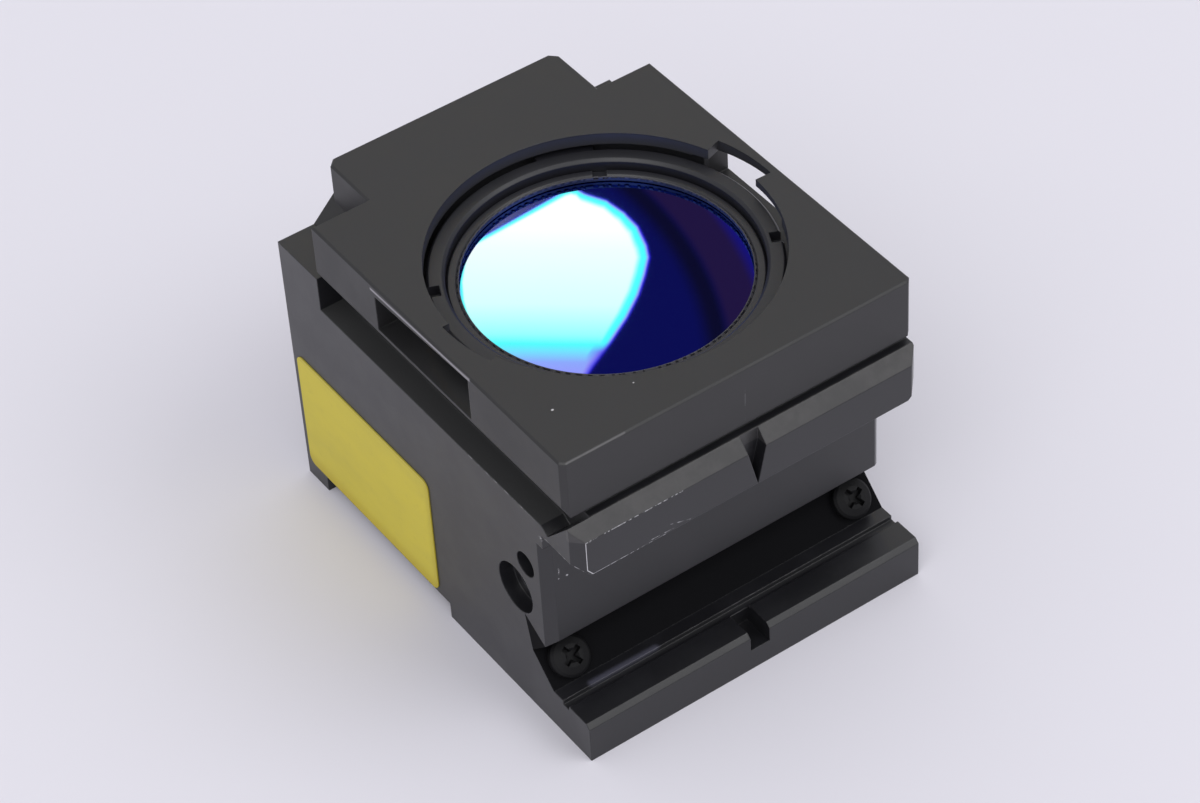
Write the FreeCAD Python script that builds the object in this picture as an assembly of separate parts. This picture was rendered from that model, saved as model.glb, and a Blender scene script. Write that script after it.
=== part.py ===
"""Fluorescence filter cube for a slide-in filter turret.

A black moulded block holds an exciter filter on its back face, an emitter filter under its top
opening and a beam splitter at 45 degrees between them. The block slides along X on its front side,
where a bar above and a flange below make a channel. X runs along that slide, Y is the exciter axis,
pointing out of the back, and Z is the emission axis, pointing up. The origin is where the emission
axis meets the face that the cube stands on. All lengths are millimetres.
"""
import os

import FreeCAD
import Part
from FreeCAD import Vector
from math import cos, radians, sin, sqrt

# Overall block
half_width = 20.0            # optical axis to either side face
front = 21.2                 # optical axis to the front of the top plate
plate_back = 20.3            # optical axis to the back of the wide part of the top plate
back = 27.7                  # optical axis to the exciter face
height = 38.4
plate_thickness = 6.9
tongue_half_width = 13.6     # narrow part of the top plate over the exciter
tongue_flare = 2.2           # slanted foot on each side of the tongue
optic_rise = 0.65            # exciter axis above the middle of the moulded block

# Front channel, given as distances behind or in front of the plate's front
rail_out = 1.4               # bar and flange stand out past the plate
rail_drop = 2.5              # lower end of the bevel above the bar, below the plate
rail_height = 4.6
bevel_drop = 1.05
bevel_start = 0.1            # flat lip between the parting groove and the bevel
groove_depth = 0.8           # parting groove under the plate
recess_depth = 4.3           # flat wall of the channel behind the plate's front
rail_edge = 0.3
flange_top = 4.8
flange_edge = 0.5
screw_cove_start = 11.3      # where the slanted screw cove leaves the channel wall
cove_depth = 3.3             # how far the cove goes in, at 45 degrees
corner_chamfer = 1.0
rail_end_chamfer = 1.1
lead_in_length = 1.8         # ramp under each end of the bar
lead_in_rise = 1.7
flange_groove_out = 19.3     # shallow groove along the flange, front edge from the optical axis
flange_groove_width = 1.0
flange_groove_depth = 0.5

# Marks at the middle of the slide
detent_x = 0.6
detent_half_width = 1.05
detent_length = 4.4
detent_depth = 1.3
slot_x = 0.3
slot_width = 2.3
slot_floor = 2.6
slot_depth = 3.6

# Rebate along the label side, under the plate
rebate_depth = 2.6
rebate_height = 4.0
rebate_end = 20.6
rebate_dip = 0.75            # low corner where the rebate meets the back of the bar
rebate_dip_back = 1.0
plate_bevel_height = 1.2     # undercut bevel along the plate's lower edge above the rebate
plate_bevel_depth = 0.6

# Holes and notch in the label side
pin_hole_radius = 1.4
pin_hole_depth = 2.4
pin_hole_y = -13.6
pin_hole_z = 19.7
side_hole_radius = 2.8
side_hole_depth = 1.6
side_hole_bore = 1.7
side_hole_reach = 4.5
side_hole_y = -11.5
side_hole_z = 14.9
foot_notch_start = 1.4
foot_notch_end = 24.0
foot_notch_height = 1.9
foot_notch_depth = 2.2

# Label
label_start = 3.2
label_end = 26.9
label_low = 2.2
label_high = 17.2
label_thickness = 0.12
label_corner = 1.0

# Top opening with its bayonet, and the emitter cell in it
cell_side_room = 2.9         # side face of the block to the cell
lip_play = 0.2               # round the cell as it drops in
lip_thickness = 1.4
bayonet_room = 1.6
floor_thickness = 1.5
floor_ledge = 3.2            # how far the floor reaches in under the cell
notch_angle = 8.4            # middle of one entry notch, the other is opposite
notch_half_angle = 10.75
notch_step_right = 1.75      # past the lip
notch_step_left = 0.75
window_start = -6.3
window_end_left = 9.4
window_end_right = 7.5
window_top_wall = 1.3        # at the end towards the exciter
window_front_wall = 0.5      # at the end towards the slide
cell_gap = 0.3               # under the lip
cell_lip = 0.6
cell_wall = 1.8
lug_reach = 1.3
lug_thickness = 1.2
lug_angle = 68.0
lug_half_angle = 9.5
turning_slot_angle = 155.0
turning_slot_width = 1.5
turning_slot_depth = 1.2
emitter_mount_play = 0.3
emitter_mount_height = 1.4
emitter_clear_step = 1.2
emitter_glass_step = 0.7
emitter_glass_thickness = 1.0
ring_clearance = 0.05
emitter_ring_step = 1.15
emitter_ring_height = 0.6
emitter_ring_turn = 57.0     # of its spanner slots, from X
spanner_slot_width = 1.4
spanner_slot_depth = 0.35

# Emission bore and screws of the top plate
emission_wall = 7.7          # side face of the block to the bore
plate_screw_step = 1.5       # outside of the cell to the circle of the screws
plate_screw_angle = 22.0
plate_screw_head = 1.5
plate_screw_sink = 0.9
plate_screw_shank = 0.8
plate_screw_length = 5.0
plate_screw_slot = 0.4

# Exciter port and its filter, which is 25 mm in diameter
exciter_wall = 1.85          # housing left above the ring's thread
exciter_thread_step = 0.75
exciter_fit = 0.05
exciter_mount_length = 5.1
exciter_stop_step = 0.9
exciter_clear_step = 1.6
exciter_glass_step = 1.0
exciter_ring_step = 1.95
exciter_glass_thickness = 3.5
exciter_lip = 0.6
exciter_ring_length = 1.8
shoulder_y = 20.3

# Beam splitter of 25.5 x 36 mm, its frame, clips and screws, measured in the plane at 45 degrees
mirror_side_room = 7.25      # side face of the block to the edge of the glass
mirror_headroom = 6.044      # height of the block that the slanted glass leaves free
mirror_thickness = 1.0
mirror_fit = 0.05
frame_margin = 3.35          # frame beside the glass
frame_top_margin = 1.2
frame_screw_edge = 1.95      # screw axis to the low end of the frame
frame_half_thickness = 1.8
frame_window_margin = 0.85
frame_window_end = 1.0
ear_margin = 1.2             # side face of the block to the end of an ear
ear_screw_edge = 1.65
ear_length = 4.7
frame_play = 0.1             # between the frame and the walls of its chamber
chamber_play = 0.2
chamber_back = 18.6
chamber_roof_thickness = 2.7
clip_half_length = 3.0
clip_thickness = 0.3
clip_reach = 1.75
clip_tail_edge = 0.2
clip_screw_edge = 1.7
clip_screw_head = 1.3
clip_screw_head_height = 0.8
clip_screw_shank = 0.6
clip_screw_depth = 1.6
frame_screw_room = 0.09      # head to the deepest line of the cove
frame_screw_head = 2.1
frame_screw_head_height = 1.35
frame_screw_crown = 0.35
frame_screw_shank = 1.0
frame_screw_reach = 2.6
cross_length = 2.3
cross_width = 0.55
cross_depth = 0.8

# Values that follow from the ones above
root_half = 1.0 / sqrt(2.0)
plate_bottom = height - plate_thickness
optic_height = plate_bottom / 2 + optic_rise
rail_top = plate_bottom - rail_drop
rail_bottom = rail_top - rail_height
bevel_top = plate_bottom - bevel_drop
rebate_floor = plate_bottom - rebate_height
floor_top = plate_bottom + floor_thickness
lip_bottom = height - lip_thickness
cell_top = lip_bottom - cell_gap
rail_face = -(front + rail_out)
recess_wall = recess_depth - front
cove_apex_y = recess_wall + cove_depth
cove_apex_z = screw_cove_start - cove_depth
cove_end_y = cove_apex_y - (cove_apex_z - flange_top)
cell_radius = half_width - cell_side_room
lip_radius = cell_radius + lip_play
bayonet_radius = cell_radius + bayonet_room
notch_radius_right = lip_radius + notch_step_right
notch_radius_left = lip_radius + notch_step_left
lug_radius = cell_radius + lug_reach
floor_hole_radius = cell_radius - floor_ledge
cell_thread_radius = cell_radius - cell_wall
emitter_mount_radius = cell_thread_radius - emitter_mount_play
emitter_clear_radius = emitter_mount_radius - emitter_clear_step
emitter_glass_radius = emitter_mount_radius - emitter_glass_step
emitter_ring_radius = cell_thread_radius - emitter_ring_step
emission_radius = half_width - emission_wall
plate_screw_circle = cell_radius - plate_screw_step
seat_offset = (cove_apex_z - optic_height - cove_apex_y) * root_half
cove_along = (cove_apex_z - optic_height + cove_apex_y) * root_half
exciter_thread_radius = plate_bottom - optic_height - exciter_wall
exciter_mount_radius = exciter_thread_radius - exciter_thread_step
exciter_stop_radius = exciter_mount_radius - exciter_stop_step
exciter_clear_radius = exciter_mount_radius - exciter_clear_step
exciter_glass_radius = exciter_mount_radius - exciter_glass_step
exciter_ring_radius = exciter_thread_radius - exciter_ring_step
mirror_width = 2 * (half_width - mirror_side_room)
mirror_length = (plate_bottom - mirror_headroom) * sqrt(2.0)
frame_half_width = mirror_width / 2 + frame_margin
frame_high_end = mirror_length / 2 + frame_top_margin
frame_window_half_width = mirror_width / 2 - frame_window_margin
frame_window_half_length = mirror_length / 2 - frame_window_end
ear_half_width = half_width - ear_margin
chamber_half_width = frame_half_width + chamber_play
chamber_roof = plate_bottom - chamber_roof_thickness
clip_tail = frame_half_width - clip_tail_edge
clip_screw_x = frame_half_width - clip_screw_edge
frame_screw_x = ear_half_width - ear_screw_edge
frame_screw_along = cove_along - frame_screw_head - frame_screw_room
frame_low_end = frame_screw_edge - frame_screw_along
through = 1.0                # how far a cutter runs past the face it opens


def box(x0, x1, y0, y1, z0, z1):
    """Block between two corners."""
    return Part.makeBox(x1 - x0, y1 - y0, z1 - z0, Vector(x0, y0, z0))


def rod(radius, length, base=(0, 0, 0), axis=(0, 0, 1)):
    """Cylinder from its base point along an axis."""
    return Part.makeCylinder(radius, length, Vector(*base), Vector(*axis))


def tube(outer, inner, length, base=(0, 0, 0), axis=(0, 0, 1)):
    """Plain ring."""
    return rod(outer, length, base, axis).cut(rod(inner, length, base, axis))


def cone(radius_low, radius_high, length, base=(0, 0, 0), axis=(0, 0, 1)):
    """Frustum from its base point along an axis."""
    return Part.makeCone(radius_low, radius_high, length, Vector(*base), Vector(*axis))


def prism(corners, start, run):
    """Solid from a closed outline of 3-D corners, pushed along a vector."""
    points = [Vector(*corner) for corner in corners]
    points.append(points[0])
    face = Part.Face(Part.makePolygon(points))
    face.translate(Vector(*start))
    return face.extrude(Vector(*run))


def prism_along_x(outline, x0, x1):
    """Side outline in Y and Z, pushed from one X to another."""
    return prism([(0, y, z) for y, z in outline], (x0, 0, 0), (x1 - x0, 0, 0))


def prism_along_y(outline, y0, y1):
    """Front outline in X and Z, pushed from one Y to another."""
    return prism([(x, 0, z) for x, z in outline], (0, y0, 0), (0, y1 - y0, 0))


def prism_along_z(outline, z0, z1):
    """Plan outline in X and Y, pushed from one Z to another."""
    return prism([(x, y, 0) for x, y in outline], (0, 0, z0), (0, 0, z1 - z0))


def revolved(profile):
    """Turned solid about Z from an outline of radius and height."""
    points = [Vector(radius, 0, z) for radius, z in profile]
    points.append(points[0])
    face = Part.Face(Part.makePolygon(points))
    return face.revolve(Vector(0, 0, 0), Vector(0, 0, 1), 360)


def sector(inner, outer, middle, half_angle, z0, z1):
    """Piece of a ring between two radii, about one angle in degrees."""
    ring = tube(outer, inner, z1 - z0, (0, 0, z0))
    reach = outer / cos(radians(half_angle)) + through
    edges = [radians(middle - half_angle), radians(middle + half_angle)]
    wedge = [(0, 0)] + [(reach * cos(angle), reach * sin(angle)) for angle in edges]
    return ring.common(prism_along_z(wedge, z0, z1))


def bevel_edges(solid, size, wanted):
    """Chamfer the straight edges for which wanted(middle, direction) is true."""
    edges = []
    for edge in solid.Edges:
        if isinstance(edge.Curve, Part.Line):
            ends = [vertex.Point for vertex in edge.Vertexes]
            if wanted((ends[0] + ends[1]) * 0.5, (ends[1] - ends[0]).normalize()):
                edges.append(edge)
    return solid.makeChamfer(size, edges)


def in_mirror_plane(solid):
    """Turn a piece drawn flat, with Y along the mirror and Z across it, to its place at 45 degrees."""
    placed = solid.copy()
    placed.rotate(Vector(0, 0, 0), Vector(1, 0, 0), 45)
    placed.translate(Vector(0, 0, optic_height))
    return placed


def plane_point(along, across):
    """Y and Z of a point given along and across the mirror plane."""
    return ((along - across) * root_half, optic_height + (along + across) * root_half)


def at_plate_screws():
    """Centres of the four screws that hold the top plate."""
    angles = [plate_screw_angle, 180 - plate_screw_angle]
    angles += [180 + plate_screw_angle, 360 - plate_screw_angle]
    return [(plate_screw_circle * cos(radians(a)), plate_screw_circle * sin(radians(a))) for a in angles]


def channel_outline():
    """Side outline of the block: flange, slanted screw cove, channel wall, bar, bevel and groove."""
    return [
        (rail_face, 0),
        (rail_face, flange_top - flange_edge),
        (rail_face + flange_edge, flange_top),
        (cove_end_y, flange_top),
        (cove_apex_y, cove_apex_z),
        (recess_wall, screw_cove_start),
        (recess_wall, rail_bottom),
        (rail_face + rail_edge, rail_bottom),
        (rail_face, rail_bottom + rail_edge),
        (rail_face, rail_top),
        (-front - bevel_start, bevel_top),
        (groove_depth - front, bevel_top),
        (groove_depth - front, plate_bottom),
        (back, plate_bottom),
        (back, 0),
    ]


def rail_marks():
    """Cutters for the middle of the slide: detent notch, flange slot and the shallow flange groove."""
    detent_low = rail_top - detent_length
    notch = prism_along_y(
        [
            (detent_x - detent_half_width, bevel_top),
            (detent_x - detent_half_width, rail_top),
            (detent_x, detent_low),
            (detent_x + detent_half_width, rail_top),
            (detent_x + detent_half_width, bevel_top),
        ],
        rail_face - through,
        rail_face + detent_depth,
    )
    slot = box(
        slot_x - slot_width / 2,
        slot_x + slot_width / 2,
        rail_face - through,
        rail_face + slot_depth,
        slot_floor,
        flange_top + through,
    )
    groove = box(
        -half_width - through,
        half_width + through,
        -flange_groove_out,
        flange_groove_width - flange_groove_out,
        flange_top - flange_groove_depth,
        flange_top + through,
    )
    return [notch, slot, groove]


def rail_ends(side):
    """Cutters at one end of the slide: channel corner, end of the bar and its lead-in ramp."""
    end = side * half_width
    past = side * (half_width + through)
    corner = prism_along_z(
        [
            (past, recess_wall - through),
            (end - side * (corner_chamfer + through), recess_wall - through),
            (end, recess_wall + corner_chamfer),
            (past, recess_wall + corner_chamfer + through),
        ],
        cove_apex_z,
        rail_bottom,
    )
    bar_end = prism_along_z(
        [
            (past, rail_face - through),
            (end - side * (rail_end_chamfer + through), rail_face - through),
            (end, rail_face + rail_end_chamfer),
            (past, rail_face + rail_end_chamfer + through),
        ],
        rail_bottom - through,
        bevel_top,
    )
    ramp = prism_along_y(
        [
            (past, rail_bottom - through),
            (end - side * lead_in_length, rail_bottom - through),
            (end - side * lead_in_length, rail_bottom),
            (end, rail_bottom + lead_in_rise),
            (past, rail_bottom + lead_in_rise),
        ],
        rail_face - through,
        recess_wall,
    )
    return [corner, bar_end, ramp]


def label_side_cutters():
    """Rebate under the plate, both holes and the notch at the foot of the label side."""
    dip_y = recess_wall - rebate_dip_back
    rebate = prism_along_x(
        [
            (rebate_end, plate_bottom + through),
            (rebate_end, rebate_floor),
            (recess_wall, rebate_floor),
            (dip_y, rebate_floor - rebate_dip),
            (-front - bevel_start, bevel_top),
            (-front - bevel_start, plate_bottom + through),
        ],
        -half_width - through,
        rebate_depth - half_width,
    )
    outside = -half_width - through
    pin_hole = rod(
        pin_hole_radius, pin_hole_depth + through, (outside, pin_hole_y, pin_hole_z), (1, 0, 0)
    )
    counterbore = rod(
        side_hole_radius, side_hole_depth + through, (outside, side_hole_y, side_hole_z), (1, 0, 0)
    )
    bore = rod(side_hole_bore, side_hole_reach + through, (outside, side_hole_y, side_hole_z), (1, 0, 0))
    notch = box(
        outside, foot_notch_depth - half_width, foot_notch_start, foot_notch_end, -through, foot_notch_height
    )
    return [rebate, pin_hole, counterbore, bore, notch]


def chamber_cutters():
    """Room for the mirror frame, open downwards, with pockets for the ears of the frame."""
    low = frame_low_end + frame_play
    high = frame_high_end + 0.5
    roof_y = plane_point(high, frame_half_thickness)[0] + (plate_bottom - chamber_roof) + frame_play
    room = prism_along_x(
        [
            plane_point(-low, frame_half_thickness),
            plane_point(high + through, frame_half_thickness),
            (roof_y, chamber_roof),
            (chamber_back, chamber_roof),
            (chamber_back, -through),
            (plane_point(-low, frame_half_thickness)[0], -through),
        ],
        -chamber_half_width,
        chamber_half_width,
    )
    ear_top = ear_length - frame_low_end + frame_play
    ear_room = prism_along_x(
        [
            plane_point(-low, frame_half_thickness),
            plane_point(ear_top, frame_half_thickness),
            plane_point(ear_top, -frame_half_thickness),
            (plane_point(ear_top, -frame_half_thickness)[0], -through),
            (plane_point(-low, frame_half_thickness)[0], -through),
        ],
        -ear_half_width - frame_play,
        ear_half_width + frame_play,
    )
    emission = rod(emission_radius, height, (0, 0, optic_height))
    slanted = Part.makeBox(
        2 * chamber_half_width,
        2 * frame_high_end,
        height,
        Vector(-chamber_half_width, -frame_high_end, frame_half_thickness),
    )
    lower_bore = rod(emission_radius, height, (0, 0, 0)).common(in_mirror_plane(slanted))
    return [room, ear_room, emission.common(in_mirror_plane(slanted)), lower_bore]


def exciter_cutters():
    """Stepped port in the back face: light stop, seat for the mount, thread for the ring."""
    seat_end = shoulder_y + exciter_mount_length
    stop = rod(
        exciter_stop_radius, shoulder_y - chamber_back + 2 * through,
        (0, chamber_back - through, optic_height), (0, 1, 0),
    )
    seat = rod(
        exciter_mount_radius + exciter_fit, exciter_mount_length,
        (0, shoulder_y, optic_height), (0, 1, 0),
    )
    thread = rod(
        exciter_thread_radius, back - seat_end + through, (0, seat_end, optic_height), (0, 1, 0)
    )
    return [stop, seat, thread]


def screw_cutters():
    """Holes for the two slanted frame screws and for the four plate screws."""
    cutters = []
    for side in (-1, 1):
        hole = rod(
            frame_screw_shank,
            seat_offset - frame_half_thickness + 2 * through,
            (side * frame_screw_x, frame_screw_along, frame_half_thickness - through),
        )
        cutters.append(in_mirror_plane(hole))
    for x, y in at_plate_screws():
        depth = plate_screw_length - floor_thickness
        cutters.append(rod(plate_screw_shank, depth, (x, y, plate_bottom - depth)))
    return cutters


def make_housing():
    """The moulded block with its slide channel, chamber and ports."""
    body = prism_along_x(channel_outline(), -half_width, half_width)
    cutters = rail_marks() + rail_ends(-1) + rail_ends(1) + label_side_cutters()
    cutters += chamber_cutters() + exciter_cutters() + screw_cutters()
    for cutter in cutters:
        body = body.cut(cutter)
    return body


def plate_outline():
    """Plan of the top plate: a square with a narrower tongue over the exciter."""
    return [
        (-half_width, -front),
        (half_width, -front),
        (half_width, plate_back),
        (tongue_half_width, plate_back),
        (tongue_half_width, back),
        (-tongue_half_width, back),
        (-tongue_half_width, plate_back),
        (-half_width, plate_back),
    ]


def make_top_plate():
    """Cover with the bayonet opening, two side windows and the floor that carries the emitter cell."""
    plate = prism_along_z(plate_outline(), plate_bottom, height)
    for side in (-1, 1):
        edge = side * tongue_half_width
        foot = prism_along_y(
            [
                (edge, plate_bottom),
                (edge + side * tongue_flare, plate_bottom),
                (edge, plate_bottom + tongue_flare),
            ],
            plate_back,
            back,
        )
        plate = plate.fuse(foot)
    plate = plate.removeSplitter()
    plate = bevel_edges(
        plate, 0.5,
        lambda middle, run: abs(run.z) > 0.9 and abs(middle.x) > half_width - 1 and middle.y < 0,
    )
    plate = bevel_edges(
        plate, 0.8,
        lambda middle, run: abs(run.z) > 0.9 and middle.y > back - 0.1,
    )
    plate = bevel_edges(plate, 0.2, lambda middle, run: middle.z > height - 0.01)
    cutters = [
        rod(floor_hole_radius, height, (0, 0, plate_bottom - through)),
        rod(bayonet_radius, lip_bottom - floor_top, (0, 0, floor_top)),
        rod(lip_radius, lip_thickness + through, (0, 0, lip_bottom)),
    ]
    for middle, radius in ((notch_angle, notch_radius_right), (notch_angle + 180, notch_radius_left)):
        cutters.append(
            sector(lip_radius - through, radius, middle, notch_half_angle, lip_bottom, height + through)
        )
    for side, end in ((-1, window_end_left), (1, window_end_right)):
        x0, x1 = sorted([side * (half_width + through), side * (emission_radius + 2)])
        window = [
            (window_start, floor_top),
            (end, floor_top),
            (end, height - window_top_wall),
            (window_start, height - window_front_wall),
        ]
        cutters.append(prism_along_x(window, x0, x1))
    cutters.append(
        prism_along_y(
            [
                (-half_width - through, plate_bottom - through),
                (plate_bevel_depth - half_width, plate_bottom - through),
                (plate_bevel_depth - half_width, plate_bottom),
                (-half_width, plate_bottom + plate_bevel_height),
                (-half_width - through, plate_bottom + plate_bevel_height),
            ],
            -front - through,
            plate_back + through,
        )
    )
    for x, y in at_plate_screws():
        cutters.append(rod(plate_screw_shank, floor_thickness + through, (x, y, plate_bottom - through)))
        cutters.append(
            cone(plate_screw_shank, plate_screw_head, plate_screw_sink, (x, y, floor_top - plate_screw_sink))
        )
    for cutter in cutters:
        plate = plate.cut(cutter)
    return plate


def make_plate_screw(x, y):
    """Small countersunk screw, flush with the floor under the emitter cell."""
    sink_bottom = floor_top - plate_screw_sink
    shank_length = plate_screw_length - plate_screw_sink
    screw = rod(plate_screw_shank, shank_length, (x, y, floor_top - plate_screw_length))
    screw = screw.fuse(cone(plate_screw_shank, plate_screw_head, plate_screw_sink, (x, y, sink_bottom)))
    for turn in (0, 90):
        arm = Part.makeBox(
            2 * plate_screw_shank, plate_screw_slot, plate_screw_slot,
            Vector(-plate_screw_shank, -plate_screw_slot / 2, floor_top - plate_screw_slot),
        )
        arm.rotate(Vector(0, 0, 0), Vector(0, 0, 1), turn)
        arm.translate(Vector(x, y, 0))
        screw = screw.cut(arm)
    return screw.removeSplitter()


def make_emitter_cell():
    """Bayonet ring: it drops in with its lugs in the two notches and is turned under the lip."""
    cell = revolved(
        [
            (floor_hole_radius - 0.3, floor_top),
            (cell_radius, floor_top),
            (cell_radius, cell_top - 0.25),
            (cell_radius - 0.25, cell_top),
            (cell_thread_radius + 0.3, cell_top),
            (cell_thread_radius, cell_top - 0.3),
            (cell_thread_radius, floor_top + cell_lip),
            (floor_hole_radius - 0.3, floor_top + cell_lip),
        ]
    )
    for middle in (lug_angle, lug_angle + 180):
        cell = cell.fuse(
            sector(cell_radius - 1.0, lug_radius, middle, lug_half_angle, cell_top - lug_thickness, cell_top - 0.3)
        )
    for middle in (turning_slot_angle, turning_slot_angle + 180):
        slot = box(
            cell_radius - turning_slot_depth, cell_radius + through,
            -turning_slot_width / 2, turning_slot_width / 2,
            cell_top - turning_slot_depth, cell_top + through,
        )
        slot.rotate(Vector(0, 0, 0), Vector(0, 0, 1), middle)
        cell = cell.cut(slot)
    return cell.removeSplitter()


def filter_mount(radius, clear, glass_radius, length, lip):
    """Turned filter ring about Z from zero: an end lip that the glass rests on, and its wall."""
    return revolved(
        [
            (clear, 0),
            (radius - 0.2, 0),
            (radius, 0.2),
            (radius, length - 0.2),
            (radius - 0.2, length),
            (glass_radius + 0.05, length),
            (glass_radius + 0.05, lip),
            (clear, lip),
        ]
    )


def retaining_ring(radius, inner, length):
    """Threaded ring about Z from zero with two spanner slots in its outer face."""
    ring = revolved(
        [
            (inner + 0.25, length),
            (inner, length - 0.25),
            (inner, 0),
            (radius, 0),
            (radius, length - 0.2),
            (radius - 0.2, length),
        ]
    )
    slot = box(
        -radius - through, radius + through,
        -spanner_slot_width / 2, spanner_slot_width / 2,
        length - spanner_slot_depth, length + through,
    )
    return ring.cut(slot)


def lifted(solid, z):
    """Move a turned piece up the emission axis."""
    placed = solid.copy()
    placed.translate(Vector(0, 0, z))
    return placed


def on_exciter_axis(solid, y):
    """Lay a turned piece along the exciter axis, with its top end outwards."""
    placed = solid.copy()
    placed.rotate(Vector(0, 0, 0), Vector(1, 0, 0), -90)
    placed.translate(Vector(0, y, optic_height))
    return placed


def emitter_pieces():
    """Cell, filter mount, glass and ring, stacked upwards from the floor of the top plate."""
    seat = floor_top + cell_lip
    glass_lip = emitter_mount_height - emitter_glass_thickness - 0.1
    mount = filter_mount(
        emitter_mount_radius, emitter_clear_radius, emitter_glass_radius, emitter_mount_height, glass_lip
    )
    glass = rod(emitter_glass_radius, emitter_glass_thickness)
    ring = retaining_ring(cell_thread_radius - ring_clearance, emitter_ring_radius, emitter_ring_height)
    ring.rotate(Vector(0, 0, 0), Vector(0, 0, 1), emitter_ring_turn)
    return {
        "emitter_cell": make_emitter_cell(),
        "emitter_mount": lifted(mount, seat),
        "emitter_glass": lifted(glass, seat + glass_lip),
        "emitter_retaining_ring": lifted(ring, seat + emitter_mount_height),
    }


def exciter_pieces():
    """Filter mount, glass and ring in the back port."""
    mount = filter_mount(
        exciter_mount_radius, exciter_clear_radius, exciter_glass_radius, exciter_mount_length, exciter_lip
    )
    glass = rod(exciter_glass_radius, exciter_glass_thickness)
    ring = retaining_ring(exciter_thread_radius - ring_clearance, exciter_ring_radius, exciter_ring_length)
    return {
        "exciter_mount": on_exciter_axis(mount, shoulder_y),
        "exciter_glass": on_exciter_axis(glass, shoulder_y + exciter_lip),
        "exciter_retaining_ring": on_exciter_axis(ring, shoulder_y + exciter_mount_length),
    }


def make_mirror_frame():
    """Flat frame with ears for the slanted screws, a pocket below for the glass, and a window."""
    frame = box(
        -frame_half_width, frame_half_width, -frame_low_end, frame_high_end,
        -frame_half_thickness, frame_half_thickness,
    )
    frame = frame.fuse(
        box(
            -ear_half_width, ear_half_width, -frame_low_end, ear_length - frame_low_end,
            -frame_half_thickness, frame_half_thickness,
        )
    )
    pocket_x = mirror_width / 2 + mirror_fit
    pocket_y = mirror_length / 2 + mirror_fit
    frame = frame.cut(box(-pocket_x, pocket_x, -pocket_y, pocket_y, -height, mirror_thickness))
    frame = frame.cut(
        box(
            -frame_window_half_width, frame_window_half_width,
            -frame_window_half_length, frame_window_half_length, -height, height,
        )
    )
    for side in (-1, 1):
        frame = frame.cut(
            rod(
                frame_screw_shank, 2 * height,
                (side * frame_screw_x, frame_screw_along, frame_half_thickness - frame_screw_reach),
            )
        )
        frame = frame.cut(
            rod(
                clip_screw_shank, clip_screw_depth + through,
                (side * clip_screw_x, 0, -frame_half_thickness - through),
            )
        )
    return in_mirror_plane(frame.removeSplitter())


def make_clip(side):
    """Leaf spring bent twice: its tail is screwed to the frame and its toe presses on the glass."""
    under = -frame_half_thickness
    wall = mirror_width / 2 - 0.05
    toe = wall - clip_reach + 0.05
    outline = [
        (clip_tail, under - clip_thickness),
        (clip_tail, under),
        (wall, under),
        (wall, 0),
        (toe, 0),
        (toe, -clip_thickness),
        (wall - clip_thickness, -clip_thickness),
        (wall - clip_thickness, under - clip_thickness),
    ]
    clip = prism_along_y([(side * x, z) for x, z in outline], -clip_half_length, clip_half_length)
    hole = rod(clip_screw_shank, height, (side * clip_screw_x, 0, under - height / 2))
    return in_mirror_plane(clip.cut(hole))


def cross_recess(top, length, width, depth):
    """Cutter for a cross recess, centred on Z and open at the given height."""
    arms = box(-length / 2, length / 2, -width / 2, width / 2, top - depth, top + through)
    arms = arms.fuse(box(-width / 2, width / 2, -length / 2, length / 2, top - depth, top + through))
    return arms.fuse(cone(0.1, length / 3, depth, (0, 0, top - depth)))


def make_clip_screw(side):
    """Pan head screw that holds one clip, its head below the frame."""
    face = frame_half_thickness + clip_thickness
    shank = rod(clip_screw_shank, clip_thickness + clip_screw_depth, (0, 0, -clip_thickness - clip_screw_depth))
    head = rod(clip_screw_head, clip_screw_head_height)
    recess = cross_recess(clip_screw_head_height, 1.3 * clip_screw_head, 0.3, 0.4)
    screw = shank.fuse(head).cut(recess)
    screw.rotate(Vector(0, 0, 0), Vector(1, 0, 0), 180)
    screw.translate(Vector(side * clip_screw_x, 0, -face))
    return in_mirror_plane(screw.removeSplitter())


def make_frame_screw(side):
    """Slanted cross recess screw that pulls one ear of the mirror frame up to its seat."""
    head = revolved(
        [
            (0, 0),
            (frame_screw_head, 0),
            (frame_screw_head, frame_screw_head_height - frame_screw_crown - 0.25),
            (frame_screw_head - 0.25, frame_screw_head_height - frame_screw_crown),
            (frame_screw_head * 0.55, frame_screw_head_height - 0.08),
            (0, frame_screw_head_height),
        ]
    )
    reach = seat_offset + frame_screw_reach - frame_half_thickness
    screw = head.fuse(rod(frame_screw_shank, reach, (0, 0, -reach)))
    screw = screw.cut(cross_recess(frame_screw_head_height, cross_length, cross_width, cross_depth))
    screw.rotate(Vector(0, 0, 0), Vector(0, 0, 1), 30)
    screw.translate(Vector(side * frame_screw_x, frame_screw_along, seat_offset))
    return in_mirror_plane(screw.removeSplitter())


def mirror_pieces():
    """Beam splitter with all that holds it."""
    half_x = mirror_width / 2
    half_y = mirror_length / 2
    glass = box(-half_x, half_x, -half_y, half_y, 0, mirror_thickness)
    pieces = {"mirror_frame": make_mirror_frame(), "beam_splitter": in_mirror_plane(glass)}
    for name, side in (("left", -1), ("right", 1)):
        pieces["mirror_clip_" + name] = make_clip(side)
        pieces["clip_screw_" + name] = make_clip_screw(side)
        pieces["frame_screw_" + name] = make_frame_screw(side)
    return pieces


def make_label():
    """Thin rectangle of film with rounded corners on the label side."""
    film = box(
        -half_width - label_thickness, -half_width, label_start, label_end, label_low, label_high
    )
    corners = [edge for edge in film.Edges if abs(edge.tangentAt(edge.FirstParameter).x) > 0.9]
    return film.makeFillet(label_corner, corners)


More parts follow.
